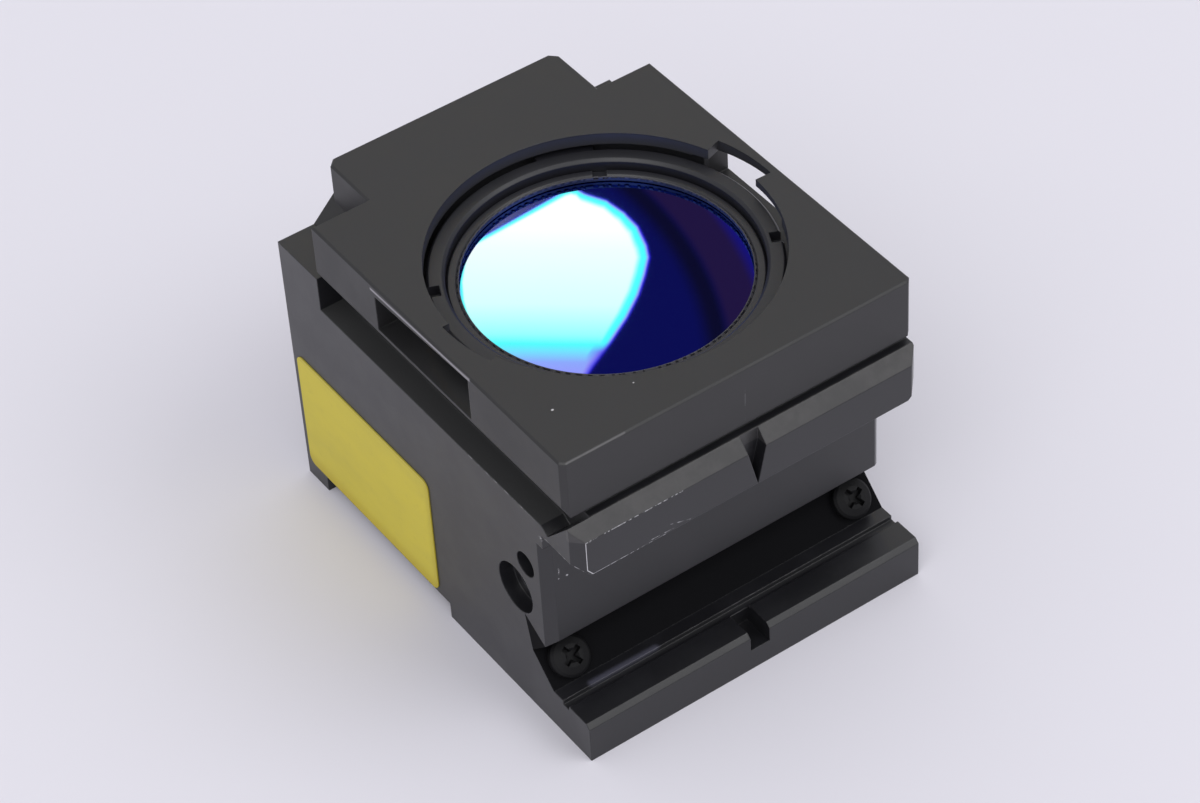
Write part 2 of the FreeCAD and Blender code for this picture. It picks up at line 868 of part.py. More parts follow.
def make_all():
    """Every sub-part by its node name."""
    parts = {"housing": make_housing(), "top_plate": make_top_plate(), "label": make_label()}
    for number, (x, y) in enumerate(at_plate_screws(), 1):
        parts["plate_screw_%d" % number] = make_plate_screw(x, y)
    parts.update(emitter_pieces())
    parts.update(exciter_pieces())
    parts.update(mirror_pieces())
    return parts


os.makedirs("parts", exist_ok=True)
for node, shape in make_all().items():
    solids = shape.Solids
    print(node, "solids", len(solids), "valid", shape.isValid(), "volume", round(shape.Volume, 2))
    single = solids[0] if len(solids) == 1 else Part.makeCompound(solids)
    single.exportStep(os.path.join("parts", node + ".step"))
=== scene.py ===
"""Finish and setting of a fluorescence filter cube on a pale table.

X runs along the slide, Y out of the exciter port and Z up the emission axis. Places on the cube are
written in millimetres from the point where the emission axis meets the table, and turned to metres.
"""
import bpy
from math import cos, pi, radians, sin
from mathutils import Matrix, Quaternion, Vector


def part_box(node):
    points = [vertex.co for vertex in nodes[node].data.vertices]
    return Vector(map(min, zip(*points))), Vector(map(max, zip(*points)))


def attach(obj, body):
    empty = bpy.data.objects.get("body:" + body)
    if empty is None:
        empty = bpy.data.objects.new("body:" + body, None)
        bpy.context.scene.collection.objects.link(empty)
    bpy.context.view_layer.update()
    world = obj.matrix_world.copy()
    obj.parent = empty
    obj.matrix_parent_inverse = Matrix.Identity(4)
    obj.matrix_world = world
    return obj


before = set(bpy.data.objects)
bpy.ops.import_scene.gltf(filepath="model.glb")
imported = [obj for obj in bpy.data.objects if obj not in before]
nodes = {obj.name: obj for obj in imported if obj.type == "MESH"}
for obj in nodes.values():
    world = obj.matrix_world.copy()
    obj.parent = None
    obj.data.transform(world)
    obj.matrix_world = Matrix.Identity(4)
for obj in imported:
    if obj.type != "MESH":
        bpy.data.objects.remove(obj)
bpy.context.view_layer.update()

MM = 0.001
scene = bpy.context.scene

# Places on the cube, in millimetres
top_low, top_high = (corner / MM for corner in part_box("top_plate"))
house_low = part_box("housing")[0] / MM
ring_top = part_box("emitter_retaining_ring")[1].z / MM
label_low, label_high = (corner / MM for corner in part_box("label"))
glass_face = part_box("emitter_glass")[1].z / MM
bar_face = house_low.y       # front of the bar above the slide
bar_top = 29.0               # upper edge of that face
bar_bottom = 24.4
bevel_top = 30.6             # just above the bevel over the face
recess_wall = -16.9          # wall between bar and flange
flange_top = 4.8
cove_top = 11.35             # just above the cove behind the slide
cove_mouth, cove_depth = -16.95, -13.5
port_wall = 19.25            # radius that takes in the port's lip and groove, not the cover's sides
ring_inner = 14.15           # of the emitter's retaining ring
ring_tooth_pitch = 0.32
ring_tooth_depth = 0.13
ring_tooth_root = 0.1        # how far the teeth are let into the ring
ring_tooth_drop = 0.3        # from the ring's top down to the teeth's lower end
ring_tooth_height = 0.26
ring_tooth_wall = 0.12

# Grain of the black moulding, in spots to a metre
fine_grain = 5200
coarse_grain = 1500
mottle_grain = 210

# Camera
camera_place = Vector((-0.148746, -0.226874, 0.276358))
camera_heading = 32.95       # degrees from +Y towards +X
camera_dip = 43.51           # degrees below the horizon
camera_roll = -3.82
camera_lens = 114.77
camera_sensor = 36.0
picture_width = 1200.0
picture_height = 803.0

# Light
table_size = 8.0
table_colour = (0.728, 0.712, 0.776)
room_glow = 0.80             # what the room adds to every surface
room_shine = 0.86            # how bright the room is in reflections, overhead
room_low_shine = 0.45        # the same near the horizon
low_height, high_height = 0.25, 0.6      # between these heights of the sky the one goes into the other
left_lamp = (-0.9, -0.7, 1.3)
right_lamp = (0.7, -0.9, 1.3)
lamp_size = 1.0
lamp_watts = 7.0
window_distance = 0.62       # from the filter to the lit window in the room
window_radiance = 9.5
coating_tint = (0.105, 0.21, 0.88)


def swatch(red, green, blue):
    """Linear colour from the 0 to 255 values of a paint swatch."""
    linear = []
    for value in (red, green, blue):
        value = value / 255.0
        linear.append(value / 12.92 if value <= 0.04045 else ((value + 0.055) / 1.055) ** 2.4)
    return tuple(linear)


def metres(x, y, z):
    """Point given in millimetres on the cube."""
    return Vector((x, y, z)) * MM


class Finish:
    """Surface finish: one Principled shader and the node chains that feed it."""

    def __init__(self, name, colour, roughness, metallic=0.0, specular=0.5, soft_edge=0.0):
        self.material = bpy.data.materials.new(name)
        self.material.use_nodes = True
        self.tree = self.material.node_tree
        self.shader = self.tree.nodes["Principled BSDF"]
        self.coordinates = self.new("ShaderNodeTexCoord").outputs["Object"]
        self.set("Base Color", (*colour, 1.0))
        self.set("Roughness", roughness)
        self.set("Metallic", metallic)
        self.set("Specular IOR Level", specular)
        self.colour = None
        self.height = None
        if soft_edge:
            node = self.new("ShaderNodeBevel", samples=6)
            self.join(soft_edge * MM, node.inputs["Radius"])
            self.height = node.outputs[0]
            self.set("Normal", self.height)

    def new(self, kind, **settings):
        """Node of a kind with its settings."""
        node = self.tree.nodes.new(kind)
        for name, value in settings.items():
            setattr(node, name, value)
        return node

    def join(self, value, socket):
        """Feed a socket from another socket or with a plain value."""
        if isinstance(value, bpy.types.NodeSocket):
            self.tree.links.new(value, socket)
        elif isinstance(value, (tuple, list, Vector)) and len(value) == 3 and socket.type == "RGBA":
            socket.default_value = (*value, 1.0)
        else:
            socket.default_value = value

    def set(self, socket, value):
        """Value or link on one of the shader's own sockets."""
        self.join(value, self.shader.inputs[socket])

    def stretched(self, stretch):
        """Object coordinates multiplied along each axis."""
        node = self.new("ShaderNodeVectorMath", operation="MULTIPLY")
        self.join(self.coordinates, node.inputs[0])
        self.join(Vector(stretch), node.inputs[1])
        return node.outputs[0]

    def noise(self, per_metre, detail=2.0, roughness=0.5, stretch=None, offset=0.0):
        """Cloudy value from 0 to 1, with so many spots to a metre."""
        node = self.new("ShaderNodeTexNoise", noise_dimensions="4D")
        source = self.stretched(stretch) if stretch else self.coordinates
        self.join(source, node.inputs["Vector"])
        self.join(per_metre, node.inputs["Scale"])
        self.join(detail, node.inputs["Detail"])
        self.join(roughness, node.inputs["Roughness"])
        self.join(offset, node.inputs["W"])
        return node.outputs["Fac"]

    def maths(self, operation, first, second=0.0, clamp=False):
        """One sum of two values."""
        node = self.new("ShaderNodeMath", operation=operation, use_clamp=clamp)
        self.join(first, node.inputs[0])
        self.join(second, node.inputs[1])
        return node.outputs[0]

    def product(self, *values):
        """All the values multiplied together."""
        total = values[0]
        for value in values[1:]:
            total = self.maths("MULTIPLY", total, value)
        return total

    def spread(self, value, low, high, to_low=0.0, to_high=1.0, smooth=True):
        """Value carried from one range to another, held at the ends."""
        node = self.new("ShaderNodeMapRange", clamp=True)
        node.interpolation_type = "SMOOTHSTEP" if smooth else "LINEAR"
        for socket, amount in zip(node.inputs[:5], (value, low, high, to_low, to_high)):
            self.join(amount, socket)
        return node.outputs[0]

    def along(self, axis):
        """Coordinate along one axis, in millimetres."""
        node = self.new("ShaderNodeSeparateXYZ")
        self.join(self.coordinates, node.inputs[0])
        return self.maths("DIVIDE", node.outputs["XYZ".index(axis)], MM)

    def between(self, value, low, high, fade):
        """1 between two bounds, fading to 0 outside them."""
        rise = self.spread(value, low - fade, low + fade)
        return self.product(rise, self.spread(value, high - fade, high + fade, 1.0, 0.0))

    def facing(self, axis, sign):
        """1 on faces that look along an axis of the cube, 0 on the others."""
        geometry = self.new("ShaderNodeNewGeometry")
        turn = self.new(
            "ShaderNodeVectorTransform", vector_type="NORMAL", convert_from="WORLD", convert_to="OBJECT"
        )
        self.join(geometry.outputs["True Normal"], turn.inputs[0])
        node = self.new("ShaderNodeSeparateXYZ")
        self.join(turn.outputs[0], node.inputs[0])
        return self.spread(self.maths("MULTIPLY", node.outputs["XYZ".index(axis)], sign), 0.8, 0.95)

    def mix(self, share, first, second, mode="MIX"):
        """Two colours laid over each other."""
        node = self.new("ShaderNodeMix", data_type="RGBA", blend_type=mode, clamp_factor=True)
        self.join(share, node.inputs["Factor"])
        colours = [socket for socket in node.inputs if socket.type == "RGBA"]
        self.join(first, colours[0])
        self.join(second, colours[1])
        return [socket for socket in node.outputs if socket.type == "RGBA"][0]

    def paint(self, share, colour, mode="MIX"):
        """Lay a colour over the base colour."""
        if self.colour is None:
            self.colour = self.mix(1.0, (0, 0, 0), tuple(self.shader.inputs["Base Color"].default_value[:3]))
        self.colour = self.mix(share, self.colour, colour, mode)
        self.set("Base Color", self.colour)

    def emboss(self, height, millimetres, strength=1.0):
        """Relief on top of what is already there."""
        node = self.new("ShaderNodeBump")
        self.join(height, node.inputs["Height"])
        self.join(millimetres * MM, node.inputs["Distance"])
        self.join(strength, node.inputs["Strength"])
        if self.height is not None:
            self.join(self.height, node.inputs["Normal"])
        self.height = node.outputs[0]
        self.set("Normal", self.height)

    def edges(self, reach):
        """1 along outer edges and corners, 0 on flat stretches."""
        node = self.new("ShaderNodeAmbientOcclusion", samples=8, inside=True, only_local=True)
        self.join(reach * MM, node.inputs["Distance"])
        return self.maths("SUBTRACT", 1.0, node.outputs["AO"])

    def near_line(self, start, end, width):
        """1 on a line between two points, falling to 0 at its half width."""
        start, end = metres(*start), metres(*end)
        run = end - start
        offset = self.new("ShaderNodeVectorMath", operation="SUBTRACT")
        self.join(self.coordinates, offset.inputs[0])
        self.join(start, offset.inputs[1])
        dot = self.new("ShaderNodeVectorMath", operation="DOT_PRODUCT")
        self.join(offset.outputs[0], dot.inputs[0])
        self.join(run, dot.inputs[1])
        share = self.maths("DIVIDE", dot.outputs["Value"], run.length_squared, clamp=True)
        foot = self.new("ShaderNodeVectorMath", operation="SCALE")
        self.join(run, foot.inputs[0])
        self.join(share, foot.inputs["Scale"])
        gap = self.new("ShaderNodeVectorMath", operation="DISTANCE")
        self.join(offset.outputs[0], gap.inputs[0])
        self.join(foot.outputs[0], gap.inputs[1])
        return self.spread(gap.outputs["Value"], 0.0, width / 2 * MM, 1.0, 0.0)

    def rub_and_highlight_along(self, path, width, colour, share=1.0, broken=None):
        """Lighter line through several points, used both for rubbed marks and for painted highlights, broken
        up into specks if wanted.
        """
        mask = None
        for start, end in zip(path, path[1:]):
            line = self.near_line(start, end, width)
            mask = line if mask is None else self.maths("MAXIMUM", mask, line)
        if broken:
            specks = self.noise(broken, 3.0, 0.7, offset=path[0][0])
            mask = self.product(mask, self.spread(specks, 0.48, 0.6))
        self.paint(self.product(mask, share), colour)


def dress(finish, *names):
    """Give CAD nodes their finish."""
    for name in names:
        mesh = nodes[name].data
        mesh.materials.clear()
        mesh.materials.append(finish.material)


def moulded_black(name, colour, roughness, mottling):
    """Semi-matt black moulding: fine grain, faint mottling and edges painted a little lighter, partly as
    rubbed wear and partly as a painted highlight.
    """
    finish = Finish(name, colour, roughness, specular=0.56, soft_edge=0.16)
    grain = finish.noise(fine_grain, 2.0, 0.6)
    cloud = finish.noise(mottle_grain, 3.0, 0.55)
    finish.paint(finish.spread(cloud, 0.38, 0.7, 0.0, mottling), tuple(c * 1.5 for c in colour))
    finish.paint(finish.spread(grain, 0.58, 0.8, 0.0, 0.2), tuple(c * 2.0 for c in colour))
    # Edges painted lighter: partly rubbed wear, partly a painted highlight where the edges catch the light.
    rubbed = finish.product(finish.edges(0.22), finish.spread(finish.noise(900, 4.0, 0.7), 0.42, 0.62))
    finish.paint(finish.spread(rubbed, 0.2, 0.8, 0.0, 0.4), swatch(112, 110, 116))
    finish.set("Roughness", finish.spread(cloud, 0.3, 0.7, roughness - 0.03, roughness + 0.04))
    finish.emboss(grain, 0.012, 0.35)
    finish.emboss(finish.noise(coarse_grain, 3.0, 0.6), 0.012, 0.25)
    return finish


def finish_top_plate():
    """The cover: even black, with dust specks, a painted highlight along the edge over the side window, a
    lighter line along its front top edge and a painted lighter band on the port's inner wall.
    """
    finish = moulded_black("moulded black", (0.0133, 0.0130, 0.0142), 0.46, 0.35)
    side, front, crest = top_low.x, top_low.y, top_high.z
    dust = (((-16.44, -14.74), 0.34), ((-16.92, 20.48), 0.26), ((-8.6, -16.4), 0.2))
    for (x, y), size in dust:
        finish.paint(finish.near_line((x, y, crest), (x + 0.05, y, crest), size), swatch(205, 202, 206))
    # Painted highlight: the strip over the side window is painted pale, as if lit.
    finish.rub_and_highlight_along(
        [(side, -6.5, crest - 0.28), (side, 2.0, crest - 0.5), (side, 10.0, crest - 0.7)],
        0.5, swatch(168, 165, 172), 0.75,
    )
    finish.rub_and_highlight_along(
        [(side + 0.6, front + 0.1, crest - 0.1), (-13.0, front + 0.1, crest - 0.1)],
        0.34, swatch(112, 110, 112), 0.45,
    )
    finish.rub_and_highlight_along([(0.43, front, 36.0), (0.32, front, 32.0)], 0.14, swatch(118, 116, 120), 0.5, 1400)
    # Painted highlight: the port's inner wall, from just under the top down to about z 35, is painted
    # lighter.
    x, y, z = finish.along("X"), finish.along("Y"), finish.along("Z")
    from_axis = finish.maths("SQRT", finish.maths("ADD", finish.product(x, x), finish.product(y, y)))
    inside = finish.spread(from_axis, port_wall - 0.05, port_wall + 0.05, 1.0, 0.0)
    lip = finish.product(inside, finish.spread(z, crest - 0.1, crest - 0.2))
    finish.paint(finish.product(lip, finish.spread(z, 33.5, 35.0)), (0.030, 0.030, 0.034))
    dress(finish, "top_plate")
    dress(moulded_black("moulded black ring", (0.009, 0.009, 0.012), 0.42, 0.3), "emitter_cell")


def finish_housing():
    """The block: semi-matt black, its bar scuffed white at the left end, with painted highlights on the
    bar's bevel, the shelf and the flange top, and painted shade low on the side.
    """
    finish = moulded_black("moulded black body", (0.0095, 0.0095, 0.0115), 0.34, 0.5)
    side, face = house_low.x, bar_face
    white = swatch(214, 213, 218)
    end_x = side + 1.1                # end of the bar's face
    ramp_x, ramp_z = side + 1.8, bar_bottom + 1.7
    lower_edge = bar_bottom + 0.3
    line_end, breaks_end = -16.6, -13.8      # where the bright line breaks up, and where it thins out
    scuffs = (
        # points of a line, its width, its strength, and specks to a metre where it is broken up
        ([(end_x, face, bar_top - 0.1), (end_x, face, lower_edge + 0.8), (ramp_x - 0.1, face, lower_edge),
          (line_end, face, lower_edge)], 0.13, 0.9, None),
        ([(line_end, face, lower_edge), (breaks_end, face, lower_edge)], 0.2, 0.9, 1100),
        ([(breaks_end, face, lower_edge), (-10.0, face, lower_edge)], 0.2, 0.7, 1900),
        ([(end_x, face, bar_top), (end_x + 0.5, face, bar_top)], 0.5, 0.8, 2200),
        ([(end_x, face, bar_top), (-8.0, face, bar_top)], 0.17, 0.7, 2100),
        ([(side, -17.4, ramp_z), (side, face + 1.1, ramp_z), (end_x, face, bar_bottom + 0.7)],
         0.16, 0.8, 1500),
        ([(side, -16.6, 25.7), (side, -18.3, 25.1)], 0.7, 0.9, 2600),
        ([(-9.85, face, 25.7), (-7.26, face, 24.9)], 0.12, 0.7, 1300),
        ([(-12.1, face, 25.0), (-9.0, face, 24.9)], 0.14, 0.6, 2300),
        ([(-18.46, recess_wall, 20.8), (-18.52, recess_wall, 19.5)], 0.24, 0.75, 2000),
        ([(-17.62, recess_wall, 19.44), (-17.55, recess_wall, 19.40)], 0.3, 0.8, None),
    )
    for path, width, strength, specks in scuffs:
        finish.rub_and_highlight_along(path, width, white, strength, specks)
    finish.rub_and_highlight_along([(side, -4.0, 27.45), (side, -16.4, 27.45)], 0.3, swatch(150, 148, 152), 0.7, 1200)
    # Painted highlight: a pale bluish streak along the flange top.
    finish.rub_and_highlight_along([(-16.5, -18.1, flange_top), (-9.0, -18.2, flange_top)], 1.3, swatch(84, 84, 98), 0.7)
    y, z = finish.along("Y"), finish.along("Z")
    # Painted shade: the block's -X side, between y -0.8 and the label's front edge, is darkened towards the
    # bottom.
    painted_low_shade = finish.product(
        finish.facing("X", -1), finish.between(y, -0.8, label_low.y + 0.6, 1.2),
        finish.spread(z, 2.0, 14.0, 0.5, 0.0),
    )
    finish.paint(painted_low_shade, (0.006, 0.006, 0.007))
    # Painted highlight: the bevel over the bar's face is painted lighter in patches, as if it caught the
    # light.
    bevel = finish.product(
        finish.between(y, face + 0.02, face + 1.45, 0.04), finish.between(z, bar_top, bevel_top, 0.05)
    )
    patchy_bevel_highlight = finish.spread(finish.noise(420, 4.0, 0.65), 0.35, 0.7, 0.5, 0.95)
    finish.paint(finish.product(bevel, patchy_bevel_highlight), (0.046, 0.044, 0.045))
    # Painted highlight: the shelf's upward faces are painted lighter.
    shelf = finish.product(finish.facing("Z", 1), finish.between(z, 26.5, 28.0, 0.1))
    finish.paint(finish.product(shelf, 0.9), (0.046, 0.046, 0.047))
    dress(finish, "housing")


def finish_cove():
    """The cove behind the slide: painted shade, a near-black dead matt copy of the block's finish laid on as
    a second finish.
    """
    # Painted shade: the cove gets a darker copy of the black for the shadow deep in it.
    finish = Finish("painted shade cove", (0.003, 0.003, 0.004), 0.8, specular=0.1)
    finish.emboss(finish.noise(coarse_grain, 3.0, 0.6), 0.012, 0.25)
    mesh = nodes["housing"].data
    mesh.materials.append(finish.material)
    for polygon in mesh.polygons:
        middle = polygon.center / MM
        if cove_mouth < middle.y < cove_depth and flange_top < middle.z < cove_top:
            polygon.material_index = 1


def cut_ring_teeth():
    """Fine teeth round the inner edge of the emitter's retaining ring."""
    root = (ring_inner + ring_tooth_root) * MM
    count = int(2 * pi * ring_inner / ring_tooth_pitch) * 2
    bpy.ops.object.select_all(action="DESELECT")
    bpy.ops.mesh.primitive_circle_add(
        vertices=count, radius=root, fill_type="NOTHING", location=(0, 0, (ring_top - ring_tooth_drop) * MM)
    )
    band = bpy.context.object
    band.name = "emitter_ring_teeth"
    bpy.ops.object.transform_apply(location=True, rotation=True, scale=True)
    bpy.ops.object.mode_set(mode="EDIT")
    bpy.ops.mesh.select_all(action="SELECT")
    bpy.ops.mesh.extrude_region_move(TRANSFORM_OT_translate={"value": (0, 0, ring_tooth_height * MM)})
    bpy.ops.object.mode_set(mode="OBJECT")
    for vertex in band.data.vertices:
        turn = round(Vector(vertex.co.xy).angle_signed(Vector((1, 0))) / (2 * pi) * count)
        vertex.select = turn % 2 == 0
    bpy.ops.object.mode_set(mode="EDIT")
    bpy.ops.mesh.select_mode(type="VERT")
    share = (ring_inner - ring_tooth_depth) * MM / root
    bpy.ops.transform.resize(value=(share, share, 1), center_override=(0, 0, 0))
    bpy.ops.mesh.select_all(action="SELECT")
    bpy.ops.mesh.normals_make_consistent(inside=True)
    bpy.ops.object.mode_set(mode="OBJECT")
    wall = band.modifiers.new("wall", "SOLIDIFY")
    wall.thickness = ring_tooth_wall * MM
    wall.offset = -1
    bpy.ops.object.modifier_apply(modifier=wall.name)
    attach(band, "root")
    return band


def finish_glass():
    """Deep blue interference coating on the emitter filter."""
    finish = Finish("blue filter coating", coating_tint, 0.012, 1.0)
    specks = finish.noise(2600, 2.0, 0.6)
    finish.paint(finish.spread(specks, 0.7, 0.85, 0.0, 0.12), (0.2, 0.3, 0.6))
    finish.emboss(finish.noise(40, 1.0), 0.0006, 0.5)
    dress(finish, "emitter_glass")


def finish_others():
    """Metal pieces, screws, clips and the other two coatings."""
    anodised = Finish("black anodised", (0.016, 0.016, 0.020), 0.36, soft_edge=0.1)
    turning = anodised.noise(3000, 2.0, 0.5)
    anodised.emboss(turning, 0.01, 0.4)
    anodised.paint(anodised.spread(anodised.edges(0.2), 0.15, 0.7, 0.0, 0.35), swatch(90, 88, 94))
    cut_ring_teeth().data.materials.append(anodised.material)
    dress(
        anodised, "emitter_mount", "emitter_retaining_ring", "exciter_mount", "exciter_retaining_ring",
        "mirror_frame",
    )
    oxide = Finish("black oxide steel", (0.022, 0.022, 0.025), 0.4, 0.3, soft_edge=0.08)
    oxide.emboss(oxide.noise(4000), 0.01, 0.5)
    oxide.paint(oxide.spread(oxide.edges(0.2), 0.25, 0.8, 0.0, 0.45), swatch(96, 95, 98))
    dress(oxide, *[name for name in nodes if "screw" in name and "frame" not in name])
    sooty = Finish("matt black screw", (0.006, 0.006, 0.007), 0.6, specular=0.2, soft_edge=0.08)
    sooty.emboss(sooty.noise(4000), 0.01, 0.5)
    dress(sooty, "frame_screw_left", "frame_screw_right")
    steel = Finish("spring steel", (0.5, 0.5, 0.5), 0.3, 1.0)
    steel.emboss(steel.noise(5000, stretch=(1, 0.05, 1)), 0.004, 0.5)
    dress(steel, "mirror_clip_left", "mirror_clip_right")
    exciter = Finish("exciter coating", (0.16, 0.03, 0.12), 0.04)
    exciter.set("Specular Tint", (1.0, 0.45, 0.9, 1.0))
    exciter.paint(exciter.spread(exciter.noise(90), 0.4, 0.7, 0.0, 0.3), (0.2, 0.06, 0.05))
    dress(exciter, "exciter_glass")
    splitter = Finish("beam splitter coating", (0.22, 0.25, 0.10), 0.03)
    splitter.set("Specular Tint", (1.0, 1.0, 0.5, 1.0))
    splitter.paint(splitter.spread(splitter.noise(60), 0.4, 0.7, 0.0, 0.3), (0.10, 0.2, 0.12))
    dress(splitter, "beam_splitter")


def finish_label():
    """Worn yellow film, left blank."""
    finish = Finish("yellow label film", (0.60, 0.505, 0.055), 0.5, specular=0.22)
    y, z = finish.along("Y"), finish.along("Z")
    streak = finish.noise(75, 4.0, 0.6, stretch=(1, 0.55, 1.6))
    finish.paint(finish.spread(streak, 0.42, 0.68, 0.0, 0.45), (0.47, 0.40, 0.062))
    finish.paint(finish.spread(finish.noise(700, 3.0, 0.6), 0.55, 0.75, 0.0, 0.18), (0.40, 0.33, 0.06))
    # Darker towards the bottom, front and top edges.
    low = finish.spread(z, label_low.z + 0.1, label_low.z + 2.2, 1.0, 0.0)
    finish.paint(finish.product(low, 0.55), (0.42, 0.31, 0.012))
    near = finish.spread(y, label_low.y + 0.1, label_low.y + 1.0, 1.0, 0.0)
    finish.paint(finish.product(near, 0.45), (0.42, 0.33, 0.03))
    high = finish.spread(z, label_high.z - 0.7, label_high.z - 0.05, 0.0, 1.0)
    finish.paint(finish.product(high, 0.35), (0.42, 0.34, 0.06))
    finish.emboss(finish.noise(1200), 0.01, 0.3)
    dress(finish, "label")


def stage_material(name, colour, rough=0.9):
    """Plain material for what stands round the cube."""
    return Finish(name, colour, rough, specular=0.1)


def lay_table():
    """Pale table top under the cube, with faint smudges."""
    bpy.ops.mesh.primitive_plane_add(size=table_size, location=(0, 0, 0))
    table = bpy.context.object
    table.name = "table_top"
    finish = stage_material("pale table", table_colour)
    smudge = finish.noise(9.0, 3.0, 0.5)
    finish.paint(finish.spread(smudge, 0.3, 0.75, 0.0, 0.04), (0.45, 0.45, 0.46))
    table.data.materials.append(finish.material)


def light_room():
    """Even room light. Reflections show it bright overhead and dimmer near the horizon."""
    world = bpy.data.worlds.new("room")
    scene.world = world
    world.use_nodes = True
    tree = world.node_tree
    background = tree.nodes["Background"]
    background.inputs["Color"].default_value = (0.97, 0.975, 1.0, 1.0)
    rays = tree.nodes.new("ShaderNodeLightPath")
    seen = tree.nodes.new("ShaderNodeMath")
    seen.operation = "MAXIMUM"
    tree.links.new(rays.outputs["Is Camera Ray"], seen.inputs[0])
    tree.links.new(rays.outputs["Is Transmission Ray"], seen.inputs[1])
    any_seen = tree.nodes.new("ShaderNodeMath")
    any_seen.operation = "MAXIMUM"
    tree.links.new(seen.outputs[0], any_seen.inputs[0])
    tree.links.new(rays.outputs["Is Glossy Ray"], any_seen.inputs[1])
    direction = tree.nodes.new("ShaderNodeTexCoord")
    height = tree.nodes.new("ShaderNodeSeparateXYZ")
    tree.links.new(direction.outputs["Generated"], height.inputs[0])
    shine = tree.nodes.new("ShaderNodeMapRange")
    shine.inputs["From Min"].default_value = low_height
    shine.inputs["From Max"].default_value = high_height
    shine.inputs["To Min"].default_value = room_low_shine
    shine.inputs["To Max"].default_value = room_shine
    tree.links.new(height.outputs["Z"], shine.inputs["Value"])
    strength = tree.nodes.new("ShaderNodeMapRange")
    strength.inputs["To Min"].default_value = room_glow
    tree.links.new(shine.outputs[0], strength.inputs["To Max"])
    tree.links.new(any_seen.outputs[0], strength.inputs["Value"])
    tree.links.new(strength.outputs[0], background.inputs["Strength"])


def soft_box(name, place):
    """Large soft lamp over the cube that doesn't show itself."""
    data = bpy.data.lights.new(name, "AREA")
    data.shape = "RECTANGLE"
    data.size = lamp_size
    data.size_y = lamp_size
    data.energy = lamp_watts
    lamp = bpy.data.objects.new(name, data)
    scene.collection.objects.link(lamp)
    lamp.location = place
    lamp.rotation_mode = "QUATERNION"
    lamp.rotation_quaternion = (-Vector(place)).to_track_quat("-Z", "Y")
    return lamp


def camera_turn():
    """How the camera is held."""
    heading, dip = radians(camera_heading), radians(camera_dip)
    forward = Vector((sin(heading) * cos(dip), cos(heading) * cos(dip), -sin(dip)))
    return forward.to_track_quat("-Z", "Y") @ Quaternion((0, 0, 1), radians(camera_roll))


def set_camera():
    """The photograph's viewpoint."""
    data = bpy.data.cameras.new("camera")
    data.lens = camera_lens
    data.sensor_width = camera_sensor
    data.clip_start = 0.01
    camera = bpy.data.objects.new("camera", data)
    scene.collection.objects.link(camera)
    camera.location = camera_place
    camera.rotation_mode = "QUATERNION"
    camera.rotation_quaternion = camera_turn()
    scene.camera = camera


def on_filter(column, row):
    """Point of the filter's face behind a pixel of the picture, and the way the sight line goes there."""
    step = camera_sensor / camera_lens / picture_width
    ray = camera_turn() @ Vector(
        ((column - picture_width / 2) * step, (picture_height / 2 - row) * step, -1.0)
    )
    ray.normalize()
    return camera_place + ray * ((glass_face * MM - camera_place.z) / ray.z), ray


def mirrored(column, row, distance):
    """What the filter shows at that pixel, at a distance from it in the room."""
    place, ray = on_filter(column, row)
    return place + Vector((ray.x, ray.y, -ray.z)) * distance


def hang(name, corners, faces, finish, **values):
    """Panel in the room that only shows in reflections, with values for its finish at its corners."""
    mesh = bpy.data.meshes.new(name)
    mesh.from_pydata(corners, [], faces)
    for key, amounts in values.items():
        layer = mesh.attributes.new(key, "FLOAT", "POINT")
        for corner, amount in zip(layer.data, amounts):
            corner.value = amount
    panel = bpy.data.objects.new(name, mesh)
    scene.collection.objects.link(panel)
    mesh.materials.append(finish.material)
    panel.visible_camera = False
    panel.visible_diffuse = False
    panel.visible_transmission = False
    panel.visible_shadow = False


def shown_as(red, green, blue):
    """Light that shows as this swatch once the blue coating has tinted it."""
    return tuple(value / tint for value, tint in zip(swatch(red, green, blue), coating_tint))


def light_ramp(finish, value, stops):
    """Colour of a light along a value, from stops of place and light."""
    node = finish.new("ShaderNodeValToRGB")
    finish.join(value, node.inputs[0])
    ramp = node.color_ramp
    while len(ramp.elements) < len(stops):
        ramp.elements.new(0.5)
    for element, (place, light) in zip(ramp.elements, stops):
        element.position = place
        element.color = (*[min(part / window_radiance, 1.0) for part in light], 1.0)
    return node.outputs["Color"]


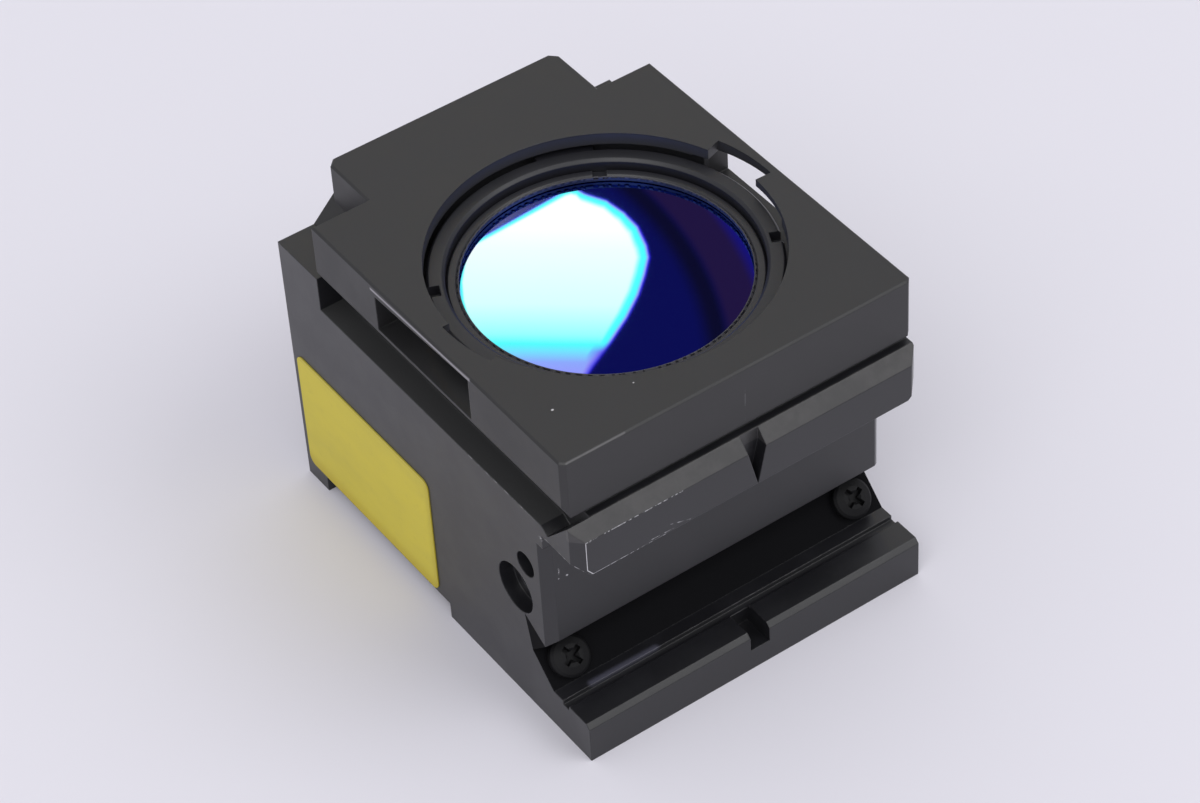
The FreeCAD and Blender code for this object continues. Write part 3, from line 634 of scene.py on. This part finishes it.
def hang_window():
    """Bright window in the dark far side of the room, which shows in the emitter filter."""
    # Outline in the picture: column, row and width of the coloured fringe, all in pixels
    outline = [
        (466, 245, 6), (563, 190.5, 7), (570, 187.5, 8), (578, 188, 9), (585, 192, 11), (607.7, 199, 12),
        (626, 211.3, 14), (640, 225.4, 16), (649.2, 244.4, 18), (651.7, 257.7, 18), (647.5, 276, 18),
        (641, 295.8, 18), (629.3, 319, 18), (612.7, 344, 18), (594.4, 368.8, 18), (568, 402, 14),
        (540, 404, 6), (508, 364, 6), (495, 353, 6), (482, 341, 6), (470.5, 327.5, 6), (463.5, 315, 6),
        (459.6, 301, 6), (458, 282, 6), (461, 263, 6),
    ]
    count = len(outline)
    inner = []
    for i, (column, row, fringe) in enumerate(outline):
        before, after = Vector(outline[i - 1][:2]), Vector(outline[(i + 1) % count][:2])
        here = Vector((column, row))
        run = (here - before).normalized() + (after - here).normalized()
        inner.append(here + Vector((-run.y, run.x)).normalized() * fringe)
    spots = [Vector(point[:2]) for point in outline] + inner
    faces = [tuple(range(count, 2 * count))]
    for i in range(count):
        j = (i + 1) % count
        faces.append((i, j, count + j, count + i))
    line_row, line_slope, fade_rows = 343.5, 0.012, 160.0
    above = [(line_row + (spot.x - 480) * line_slope - spot.y + 40) / fade_rows for spot in spots]
    finish = stage_material("window light", (0, 0, 0))
    white = (window_radiance,) * 3
    glow = finish.new("ShaderNodeAttribute", attribute_name="glow").outputs["Fac"]
    level = finish.new("ShaderNodeAttribute", attribute_name="level").outputs["Fac"]
    rim_high = light_ramp(finish, glow, [
        (0.0, shown_as(11, 13, 90)), (0.08, shown_as(24, 16, 170)), (0.14, shown_as(62, 52, 240)),
        (0.20, shown_as(150, 150, 252)), (0.27, shown_as(120, 205, 255)), (0.34, shown_as(74, 250, 255)),
        (0.56, shown_as(82, 255, 255)), (0.70, shown_as(150, 255, 255)), (0.84, shown_as(214, 255, 255)),
        (1.0, white),
    ])
    rim_low = light_ramp(finish, glow, [
        (0.0, shown_as(11, 13, 90)), (0.10, shown_as(24, 16, 170)), (0.22, shown_as(90, 84, 240)),
        (0.45, shown_as(150, 150, 250)), (0.75, shown_as(160, 190, 255)), (1.0, white),
    ])
    rim = finish.mix(finish.spread(level, 0.2, 0.27), rim_low, rim_high)
    body = light_ramp(finish, level, [
        (0.04, shown_as(150, 148, 252)), (0.14, shown_as(140, 168, 253)), (0.21, shown_as(112, 228, 255)),
        (0.25, shown_as(80, 252, 254)), (0.31, shown_as(150, 255, 255)), (0.50, shown_as(214, 255, 255)),
        (0.85, shown_as(238, 254, 255)), (1.0, white),
    ])
    finish.set("Emission Color", finish.mix(1.0, rim, body, "DARKEN"))
    finish.set("Emission Strength", window_radiance)
    corners = [mirrored(spot.x, spot.y, window_distance) for spot in spots]
    hang("window", corners, faces, finish, glow=[0.0] * count + [1.0] * count, level=above)


def hang_far_side():
    """Dark side of the room behind the window, violet towards one end, with a paler wall at the other."""
    columns, rows = range(360, 900, 20), range(60, 480, 20)
    corners, arc, faces = [], [], []
    centre = Vector((-35.8, 9.7))
    for row in rows:
        for column in columns:
            corners.append(mirrored(column, row, window_distance * 1.15))
            place = on_filter(column, row)[0] / MM
            arc.append((Vector(place.xy) - centre).length)
    wide = len(columns)
    for i in range(len(rows) - 1):
        for j in range(wide - 1):
            k = i * wide + j
            faces.append((k, k + 1, k + wide + 1, k + wide))
    finish = stage_material("dark side of the room", (0, 0, 0))
    reach = finish.new("ShaderNodeAttribute", attribute_name="arc").outputs["Fac"]
    colour = finish.mix(finish.spread(reach, 45.7, 46.9), shown_as(10, 12, 80), shown_as(31, 20, 62))
    dark = finish.product(finish.spread(reach, 43.2, 45.2), finish.spread(reach, 45.6, 46.8, 1.0, 0.0))
    colour = finish.mix(finish.product(dark, 0.85), colour, shown_as(10, 9, 26))
    colour = finish.mix(finish.spread(reach, 49.4, 51.0), colour, shown_as(20, 17, 118))
    finish.set("Emission Color", colour)
    finish.set("Emission Strength", 1.0)
    hang("dark_side", corners, faces, finish, arc=arc)
    wall = stage_material("pale wall", (0, 0, 0))
    glow = wall.new("ShaderNodeAttribute", attribute_name="glow").outputs["Fac"]
    wall.set("Emission Color", wall.mix(glow, shown_as(30, 28, 100), shown_as(112, 114, 168)))
    wall.set("Emission Strength", 1.0)
    spots = [(440, 262), (567, 190), (540, 120), (380, 200)]
    corners = [mirrored(column, row, window_distance * 1.05) for column, row in spots]
    hang("pale_wall", corners, [(0, 1, 2, 3)], wall, glow=[1.0, 0.0, 0.0, 0.8])


def main():
    """Set the scene, then finish each piece."""
    scene.view_settings.view_transform = "Standard"
    bpy.ops.object.select_all(action="DESELECT")
    set_camera()
    lay_table()
    light_room()
    soft_box("left box", left_lamp)
    soft_box("right box", right_lamp)
    hang_window()
    hang_far_side()
    finish_top_plate()
    finish_housing()
    finish_cove()
    finish_glass()
    finish_others()
    finish_label()


main()
